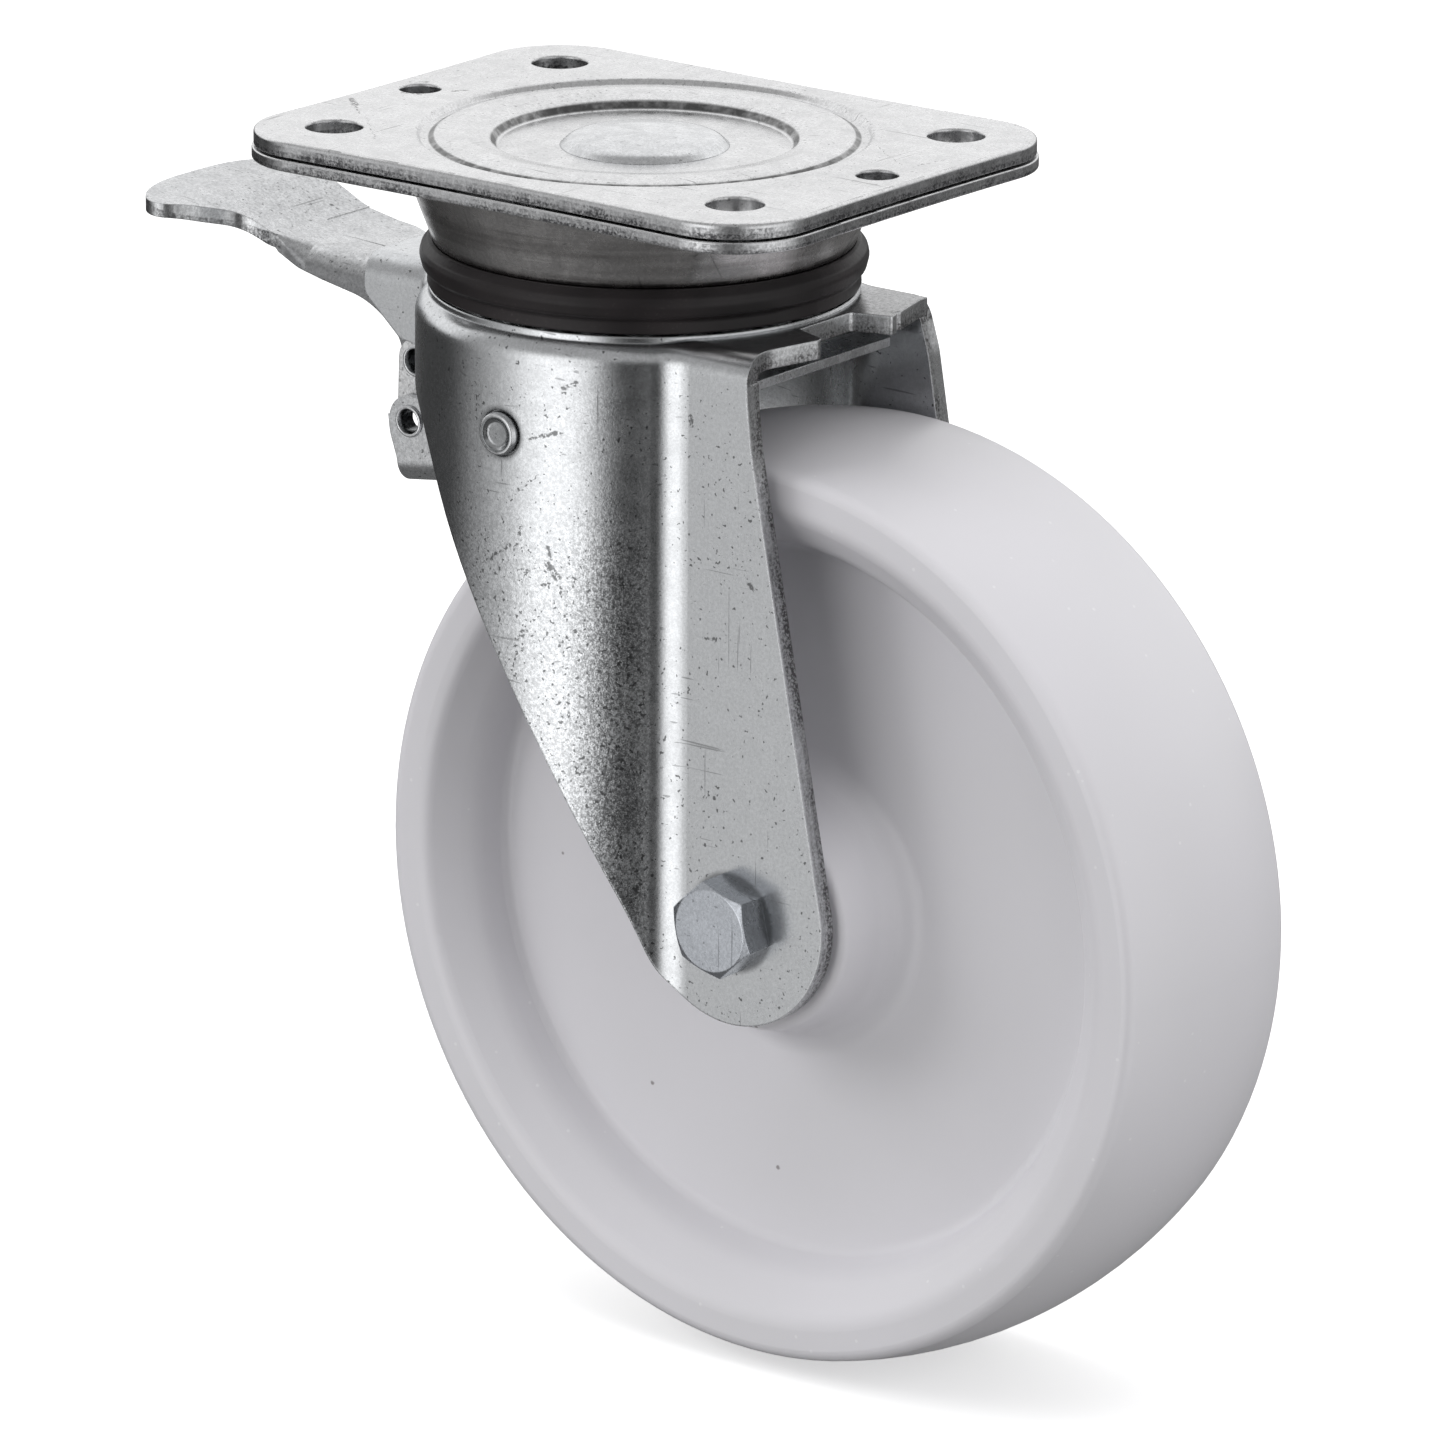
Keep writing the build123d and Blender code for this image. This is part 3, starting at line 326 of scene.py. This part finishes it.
def fork_mat():
    M = zinc("zinc fork", base=(0.70, 0.714, 0.73), rough=0.27, peel=0.030, speck=0.85, scratch=0.03, bev=0.5, dens=0.0, mottle=0.05, marks=FORK_MARKS, grain=0.10)
    x, y, z = M.sep()
    nx, ny, nz = M.sep(M.nor)
    ay, ny, anz = M.math("ABSOLUTE", y), M.math("ABSOLUTE", ny), M.math("ABSOLUTE", nz)
    notch = M.mul(M.mul(M.mul(M.smooth(x, 0.0455, 0.0465), M.smooth(z, -0.0385, -0.0375)), M.smooth(nz, 0.6, 0.3)), M.smooth(ay, 0.030, 0.029))
    r = M.math("POWER", M.add(M.mul(x, x), M.mul(y, y)), 0.5)
    # the drawn round front is rougher than the flat legs
    front = M.mul(M.smooth(ay, 0.0355, 0.0385), M.smooth(z, -0.036, -0.050))
    low = M.smooth(z, -0.062, -0.085)
    M.h = M.mul(M.h, M.add(M.mul(front, M.add(M.mul(low, 0.8), 0.6)), 0.5))
    band = M.mul(M.smooth(x, 0.013, 0.024), M.smooth(y, 0.0, -0.02))
    M.grain = M.mul(M.grain, M.add(M.mul(front, M.add(M.mul(low, M.add(M.mul(band, 2.6), 0.9)), 0.5)), 0.7))
    M.r = M.sub(M.r, M.mul(M.smooth(M.mott, 0.35, 0.65), 0.06))
    # painted shade: the crown's upper face behind the seal is painted darker, with coarser grain
    top = M.mul(M.mul(M.mul(M.smooth(z, -0.0345, -0.0335), M.smooth(x, 0.028, 0.042)), M.smooth(nz, 0.55, 0.8)), M.smooth(y, -0.014, 0.002))
    M.col = M.mix(M.mul(top, 0.85), M.col, (0.30, 0.30, 0.305))
    M.grain = M.mul(M.grain, M.add(M.mul(top, 3.0), 1.0))
    M.specks = M.smooth(M.add(M.raw, M.mul(M.math("MAXIMUM", M.dens, M.mul(front, M.add(M.mul(M.patch, 0.5), M.mul(low, 0.75)))), 0.085)), 0.765, 0.812)
    # cut edges
    out = M.math("MAXIMUM", M.smooth(anz, 0.97, 0.93), M.smooth(z, -0.0395, -0.0405))
    side = M.math("MAXIMUM", M.mul(M.smooth(ny, 0.25, 0.12), out), notch)
    depth = M.math("MINIMUM", M.sub(ay, 0.030), M.sub(r, 0.0438))
    depth = M.math("MAXIMUM", M.mul(depth, 250.0), 0.0, clamp=True)
    crown = M.smooth(z, -0.0392, -0.0388)
    depth = M.add(M.mul(depth, M.sub(1.0, crown)), M.mul(crown, M.math("MAXIMUM", M.mul(M.add(z, 0.037), 250.0), 0.0, clamp=True)))
    shear(M, side, depth, (0.12, 0.118, 0.12), (0.68, 0.69, 0.70), 0.40, 0.78)
    # painted shade: dark rings round the rivet and the bolt head, where they sit on the fork, added to the specks
    for (px, pz), rad in (((0.0, -54.7), 4.9), ((50.0, -153.7), 10.0)):
        d = M.math("POWER", M.add(M.math("POWER", M.sub(x, px * MM), 2.0), M.math("POWER", M.sub(z, pz * MM), 2.0)), 0.5)
        M.specks = M.math("MAXIMUM", M.specks, M.mul(M.smooth(d, (rad + 1.5) * MM, rad * MM), 0.8))
    return close(M)


paint("fork", fork_mat())
bracket = close(zinc("zinc bracket", rough=0.34, peel=0.03, bev=0.2))
for nm in ("pedal_bracket_left", "pedal_bracket_right"):
    paint(nm, bracket)

PEDAL_MARKS = [((-96.8, 14.3, -33.6), (-96.4, 14.7, -33.6), 0.75), ((-88, -3, -36), (-84, 1, -36.4), 0.14), ((-112, 8, -29), (-104, 12, -31), 0.13)]


def lever_mat(name, marks=(), edges=False):
    M = zinc(name, base=(0.66, 0.668, 0.68) if edges else (0.73, 0.74, 0.755), rough=0.29, peel=0.030, speck=0.7, scratch=0.04, bev=0.35, dens=0.15, mottle=0.10, marks=marks, grain=0.16)
    if edges:
        x, y, z = M.sep()
        anz = M.math("ABSOLUTE", M.sep(M.nor)[2])
        blade = M.mul(M.smooth(x, -0.0905, -0.0925), M.smooth(anz, 0.6, 0.3))
        # the blade follows its own slope, so depth is taken across the sheet
        top = M.add(M.mul(M.smooth(x, -0.124, -0.093), -0.0072), -0.0276)
        depth = M.add(M.mul(M.sub(z, top), 330.0), 1.0)
        shear(M, blade, M.math("MAXIMUM", depth, 0.0, clamp=True), (0.10, 0.10, 0.105), (0.66, 0.67, 0.68), 0.25, 0.9)
        # painted shade: the neck's upright flanges are painted darker than its web
        neck = M.mul(M.smooth(x, -0.0925, -0.0900), M.smooth(anz, 0.6, 0.3))
        M.col = M.mix(M.mul(neck, 0.8), M.col, (0.24, 0.243, 0.25))
    return close(M)


paint("brake_pedal", lever_mat("zinc pedal", PEDAL_MARKS, True))
lever = lever_mat("zinc lever")
for nm in ("brake_rocker", "lock_leaf"):
    paint(nm, lever)
link = close(zinc("zinc link", base=(0.86, 0.865, 0.875), rough=0.38, peel=0.030, speck=0.5, scratch=0.04, bev=0.35, dens=0.10, mottle=0.10, grain=0.16))
for nm in ("brake_link_left", "brake_link_right"):
    paint(nm, link)
pin = close(zinc("zinc pin", base=(0.76, 0.77, 0.785), rough=0.24, peel=0.022, speck=0.4, scratch=0.0, bev=0.25, dens=0.0))
for nm in ("king_pin", "swivel_lock_disc", "pedal_pin", "leaf_rivets", "hub_end_washers"):
    paint(nm, pin)


def rivet_mat(name, axes, inner, outer):
    """A rolled rivet end: bright ring, with painted shade in the dished centre and a darker painted ring just inside
    its edge.
    """
    M = zinc(name, base=(0.76, 0.77, 0.785), rough=0.24, peel=0.03, speck=0.4, scratch=0.0, bev=0.2, dens=0.0)
    x, y, z = M.sep()
    dish_shade = None
    for px, pz in axes:
        d = M.math("POWER", M.add(M.math("POWER", M.sub(x, px * MM), 2.0), M.math("POWER", M.sub(z, pz * MM), 2.0)), 0.5)
        c = M.smooth(d, (inner + 0.35) * MM, (inner - 0.15) * MM)
        dish_edge_shade = M.mul(M.smooth(d, (inner - 0.7) * MM, (inner - 0.1) * MM), c)
        c = M.add(M.mul(c, 0.55), M.mul(dish_edge_shade, 0.4))
        dish_shade = c if dish_shade is None else M.math("MAXIMUM", dish_shade, c)
    # painted shade in the dish, mottled
    M.col = M.mix(M.mul(dish_shade, M.add(M.mul(M.mott, 0.7), 0.55)), M.col, (0.12, 0.13, 0.135))
    return close(M)


paint("rocker_rivet", rivet_mat("zinc cross rivet", [(0.0, -54.7)], 3.7, 4.8))
paint("upper_eyelets", rivet_mat("zinc upper eyelet", [(-52.5, -55.9)], 2.5, 3.5))
paint("lower_eyelets", rivet_mat("zinc lower eyelet", [(-52.9, -68.7)], 2.5, 3.5))
bolt = close(zinc("zinc bolt", base=(0.66, 0.69, 0.74), rough=0.25, peel=0.03, speck=0.5, scratch=0.03, bev=0.3, dens=0.1))
for nm in ("axle_bolt", "axle_nut"):
    paint(nm, bolt)
steel = close(zinc("plain steel", base=(0.50, 0.49, 0.48), rough=0.36, peel=0.03, speck=0.4, scratch=0.0, bev=0.2))
for nm in ("king_pin_spacer", "king_pin_bush", "brake_shoe", "rocker_spacers", "axle_tube"):
    paint(nm, steel)
balls = close(zinc("ball steel", base=(0.78, 0.78, 0.78), rough=0.16, peel=0.004, speck=0.15, scratch=0.0, bev=0))
for nm in ("upper_ball_row", "lower_ball_row", "hub_rollers"):
    paint(nm, balls)


def seal_mat():
    M = Mat("black seal rubber")
    f = M.noise(900.0, 2.0, 0.6)
    d = M.noise(45.0, 2.0, 0.5)
    dust = M.mul(M.smooth(M.noise(1500.0, 2.0, 0.6), 0.60, 0.72), M.smooth(d, 0.4, 0.7))
    col = M.mix(M.smooth(d, 0.3, 0.7), (0.014, 0.0125, 0.013), (0.026, 0.022, 0.023))
    col = M.mix(M.mul(dust, 0.35), col, (0.08, 0.07, 0.07))
    M.set(Base_Color=col, Roughness=M.add(M.mul(f, 0.16), 0.30), Specular_IOR_Level=0.22)
    M.set(Normal=M.bump(f, 0.05 * MM, 0.6, M.bevel(0.3)))
    return M.m


paint("dust_seal", seal_mat())


def plastic(name, c, rough):
    M = Mat(name)
    f = M.noise(1400.0, 2.0, 0.6)
    d = M.noise(60.0, 2.0, 0.5)
    M.set(Base_Color=M.mix(M.smooth(d, 0.3, 0.7), c, tuple(q * 0.9 for q in c)), Roughness=M.add(M.mul(f, 0.12), rough - 0.06))
    M.set(Normal=M.bump(f, 0.04 * MM, 0.3))
    return M.m


paint("roller_cage", plastic("cage plastic", (0.03, 0.03, 0.032), 0.45))
paint("nut_insert", plastic("insert plastic", (0.72, 0.72, 0.68), 0.4))


WHEEL_MARKS = [((23.9 - 11.1, -12.7, -202.5), (23.9 - 10.9, -12.7, -202.5), 0.42), ((46.4, -12.7, -214.0), (46.6, -12.7, -214.0), 0.42),
               ((72.7, -27.4, -233.9), (74.6, -27.4, -232.4), 0.30), ((74.6, -27.4, -232.4), (76.1, -27.4, -231.2), 0.18), ((67.5, -27.4, -57.5), (73.4, -27.4, -58.7), 0.22)]


def wheel_mat():
    M = Mat("milky polyamide")
    cloud = M.noise(14.0, 2.0, 0.5)
    fine = M.noise(1100.0, 2.0, 0.6)
    wav = M.noise(95.0, 1.0, 0.4)
    v = M.voronoi(95.0)
    sp = M.smooth(v.outputs["Distance"], 0.055, 0.03)
    speck = M.mul(sp, M.smooth(M.sep(v.outputs["Color"])[0], 0.90, 0.91))
    v2 = M.voronoi(330.0, vec=M.mapped(loc=(0.4, 0.1, 0.2)))
    sp2 = M.mul(M.smooth(v2.outputs["Distance"], 0.16, 0.08), M.smooth(M.sep(v2.outputs["Color"])[1], 0.93, 0.94))
    wob = M.warp(0.35)
    mark = None
    for q in WHEEL_MARKS:
        m = M.line(wob, *q)
        mark = m if mark is None else M.math("MAXIMUM", mark, m)
    speck = M.math("MAXIMUM", speck, mark)
    col = M.mix(M.smooth(cloud, 0.3, 0.7), (0.715, 0.705, 0.738), (0.685, 0.677, 0.704))
    col = M.mix(M.mul(speck, 0.75), col, (0.16, 0.14, 0.14))
    col = M.mix(M.mul(sp2, 0.30), col, (0.95, 0.95, 0.96))
    M.set(Base_Color=col, Roughness=M.add(M.mul(fine, 0.10), 0.30), Subsurface_Weight=0.2, Subsurface_Scale=0.003)
    M.b.inputs["Subsurface Radius"].default_value = (1.0, 0.95, 0.95)
    h = M.add(M.mul(wav, 1.0), M.mul(fine, 0.12))
    M.set(Normal=M.bump(h, 0.10 * MM, 0.35, M.bevel(0.35)))
    return M.m


paint("wheel", wheel_mat())

# ------------------------------------------------------------------
# floor, light, camera
# ------------------------------------------------------------------
floor_z = cad_box[0][2] - 0.0004
bpy.ops.mesh.primitive_plane_add(size=14.0, location=(0, 0, floor_z))
floor = bpy.context.object
floor.name = "studio_floor"
F = Mat("pale floor")
F.set(Base_Color=F.mix(F.smooth(F.noise(2.0, 2.0, 0.5), 0.3, 0.7), (0.90, 0.90, 0.90), (0.88, 0.88, 0.885)), Roughness=0.6, Specular_IOR_Level=0.2, Emission_Strength=0.42)
F.b.inputs["Emission Color"].default_value = (1, 1, 1, 1)
floor.data.materials.append(F.m)

floor.visible_glossy = False
floor.visible_diffuse = False

# The studio as the metal sees it: tall soft panels and dark gaps round the
# table, a bright wall behind, and a dark ceiling. 0 deg is towards -Y, 90 +X.
PANELS = [(-180, 0.20), (-160, 0.16), (-125, 0.10), (-110, 0.05), (-72, 0.05), (-62, 0.16), (-52, 0.36), (-42, 0.50), (-32, 0.70), (-24, 1.10), (-17, 1.46), (3, 1.50),
          (9, 1.15), (14, 0.72), (19, 0.25), (24, 0.03), (40, 0.03), (47, 0.30), (58, 0.95), (80, 1.10), (112, 0.95), (126, 0.30), (138, 0.12), (150, 0.12), (180, 0.20)]


class World(Mat):
    def __init__(self):
        self.w = bpy.data.worlds.new("studio")
        self.w.use_nodes = True
        t = self.w.node_tree
        self.n, self.l = t.nodes, t.links
        self.bg = self.n["Background"]
        self.co = self.n.new("ShaderNodeTexCoord").outputs["Generated"]


WD = World()
bpy.context.scene.world = WD.w
x, y, z = WD.sep()
ang = WD.math("ARCTAN2", x, WD.mul(y, -1.0))
rp = WD.n.new("ShaderNodeValToRGB")
rp.color_ramp.interpolation = "EASE"
WD.l.new(WD.add(WD.mul(ang, 1 / (2 * math.pi)), 0.5), rp.inputs[0])
el = rp.color_ramp.elements
while len(el) < len(PANELS):
    el.new(0.5)
for q, (deg, v) in zip(el, PANELS):
    q.position = (deg + 180) / 360.0
    q.color = (v / 2, v / 2, v / 2, 1)
ring = WD.mul(rp.outputs[0], 2.0)


def level(fac, a, b):
    """a where fac is 0, b where it is 1."""
    return WD.add(WD.mul(a, WD.sub(1.0, fac)), WD.mul(b, fac))


low = level(WD.smooth(z, -0.42, -0.75), ring, 0.14)
front = level(WD.smooth(z, 0.12, 0.50), ring, 0.42)
back = WD.smooth(WD.add(WD.mul(x, -0.60), WD.mul(y, 0.80)), 0.05, 0.40)
high = level(back, front, 1.0)
WD.l.new(level(WD.smooth(z, -0.04, 0.10), low, high), WD.bg.inputs[1])
WD.bg.inputs[0].default_value = (1, 1, 1, 1)

centre = Vector((0.0, 0.0, -0.11))


def area(name, az, el, dist, sx, sy, power, color=(1, 1, 1), aim=centre, glossy=True):
    """A softbox. Azimuth 0 is towards -Y and 90 towards +X."""
    a, e = math.radians(az), math.radians(el)
    pos = aim + Vector((math.sin(a) * math.cos(e), -math.cos(a) * math.cos(e), math.sin(e))) * dist
    d = bpy.data.lights.new(name, "AREA")
    d.shape = "RECTANGLE"
    d.size, d.size_y = sx, sy
    d.energy = power
    d.color = color
    o = bpy.data.objects.new(name, d)
    bpy.context.collection.objects.link(o)
    o.location = pos
    o.rotation_euler = (aim - pos).to_track_quat("-Z", "Y").to_euler()
    o.visible_glossy = glossy
    return o


area("key", -46, 26, 1.6, 0.8, 0.8, 10, glossy=False)
area("fill", 84, 16, 1.8, 1.2, 1.2, 8.6, glossy=False)
area("top", 10, 86, 1.6, 1.6, 1.6, 10.5, glossy=False)

cam_d = bpy.data.cameras.new("camera")
cam = bpy.data.objects.new("camera", cam_d)
bpy.context.collection.objects.link(cam)
bpy.context.scene.camera = cam
AZ, EL, ROLL, DIST, FPX, TR, TU = 37.631, 17.001, 0.340, 2.0841, 9912.96, 0.015876, -0.025983
a, e, r = math.radians(AZ), math.radians(EL), math.radians(ROLL)
fwd = Vector((-math.sin(a) * math.cos(e), math.cos(a) * math.cos(e), -math.sin(e)))
right = Vector((math.cos(a), math.sin(a), 0))
up = right.cross(fwd)
R = right * math.cos(r) + up * math.sin(r)
U = -right * math.sin(r) + up * math.cos(r)
pos = Vector((0, 0, -0.1)) + right * TR + up * TU - fwd * DIST
rot = Matrix((R, U, -fwd)).transposed().to_4x4()
cam.matrix_world = Matrix.Translation(pos) @ rot
cam_d.sensor_width = 36.0
cam_d.lens = FPX / 1436.0 * 36.0
cam_d.clip_start = 0.05
cam_d.clip_end = 60.0

bpy.context.scene.view_settings.view_transform = "Standard"
